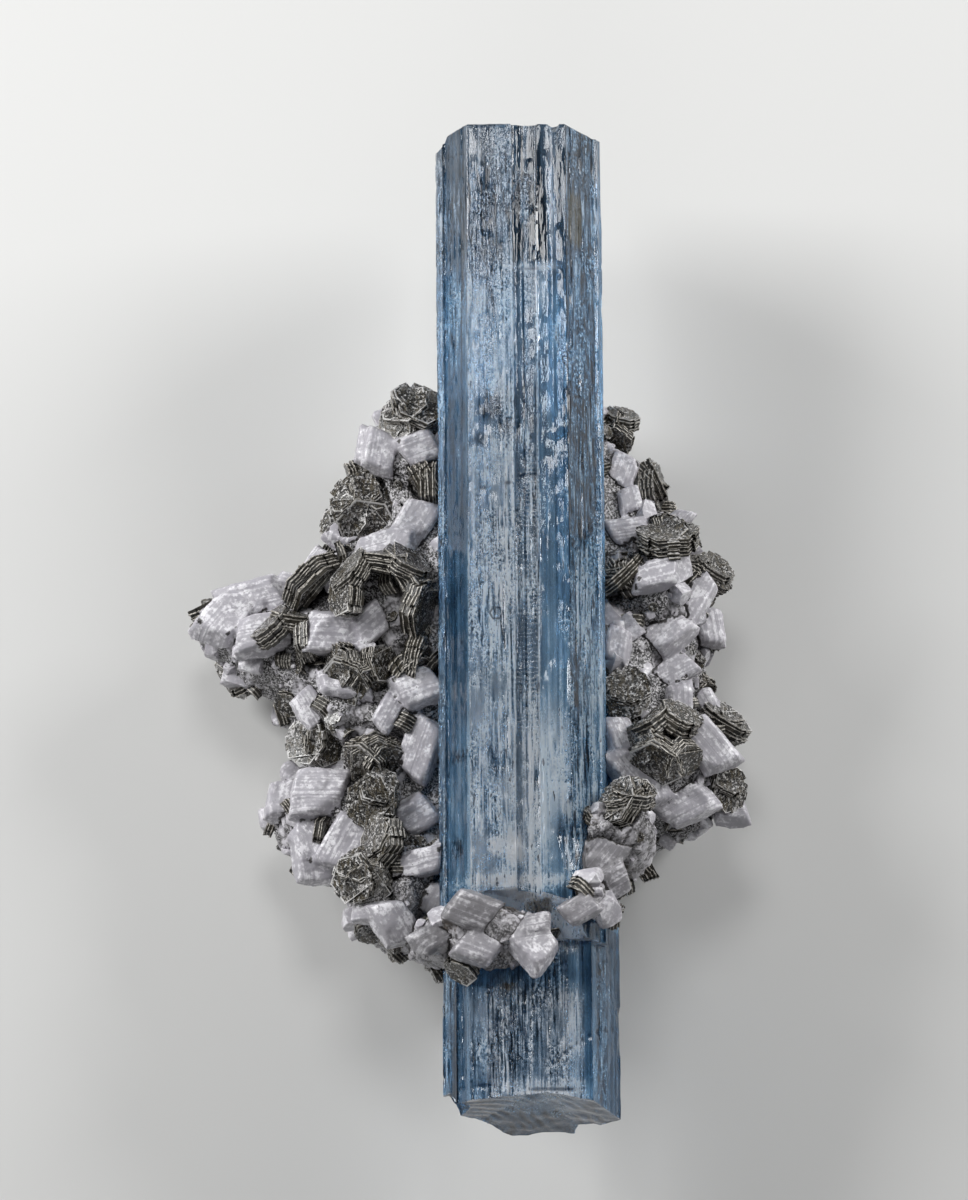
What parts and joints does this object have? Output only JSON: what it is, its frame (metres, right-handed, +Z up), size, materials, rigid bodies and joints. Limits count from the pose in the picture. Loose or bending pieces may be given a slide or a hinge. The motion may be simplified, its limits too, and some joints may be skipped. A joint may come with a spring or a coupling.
{
  "type": "aquamarine crystal specimen",
  "caption": "Long six-sided blue aquamarine crystal grown through a rough matrix of white albite blades and stacked muscovite mica books, lying on its flat back.",
  "frame": {"origin": "on the surface that the specimen lies on, under the middle of its overall box", "axes": "+Y along the aquamarine towards its flat end, +Z up from the resting surface towards the aquamarine's front faces, +X to the right of someone who looks down with the flat end away from them"},
  "size_m": [0.0686, 0.1208, 0.0366],
  "materials": {
    "aquamarine": "clear pale blue beryl with lengthwise striations, etch marks and veils",
    "albite": "translucent white blocky feldspar, satin",
    "muscovite": "dark silvery brown stacked mica leaves, pearly"
  },
  "bodies": {
    "root": {"aquamarine_crystal": "aquamarine", "albite_matrix": "albite", "mica_belly": "muscovite", "mica_beside_left": "muscovite", "mica_beside_middle": "muscovite", "mica_bowl": "muscovite", "mica_corner": "muscovite", "mica_fan": "muscovite", "mica_ledge": "muscovite", "mica_left_diagonal": "muscovite", "mica_left_rosette": "muscovite", "mica_left_tip": "muscovite", "mica_lower_left": "muscovite", "mica_right_diagonal": "muscovite", "mica_right_face": "muscovite", "mica_right_low": "muscovite", "mica_right_point": "muscovite", "mica_right_rosette": "muscovite", "mica_right_slab": "muscovite", "mica_right_strips": "muscovite", "mica_right_top": "muscovite", "mica_rim_right": "muscovite", "mica_shoulder": "muscovite", "mica_side_below": "muscovite", "mica_side_left": "muscovite", "mica_side_right": "muscovite", "mica_side_upper_left": "muscovite", "mica_top_left": "muscovite", "mica_wing": "muscovite"}
  },
  "joints": []
}
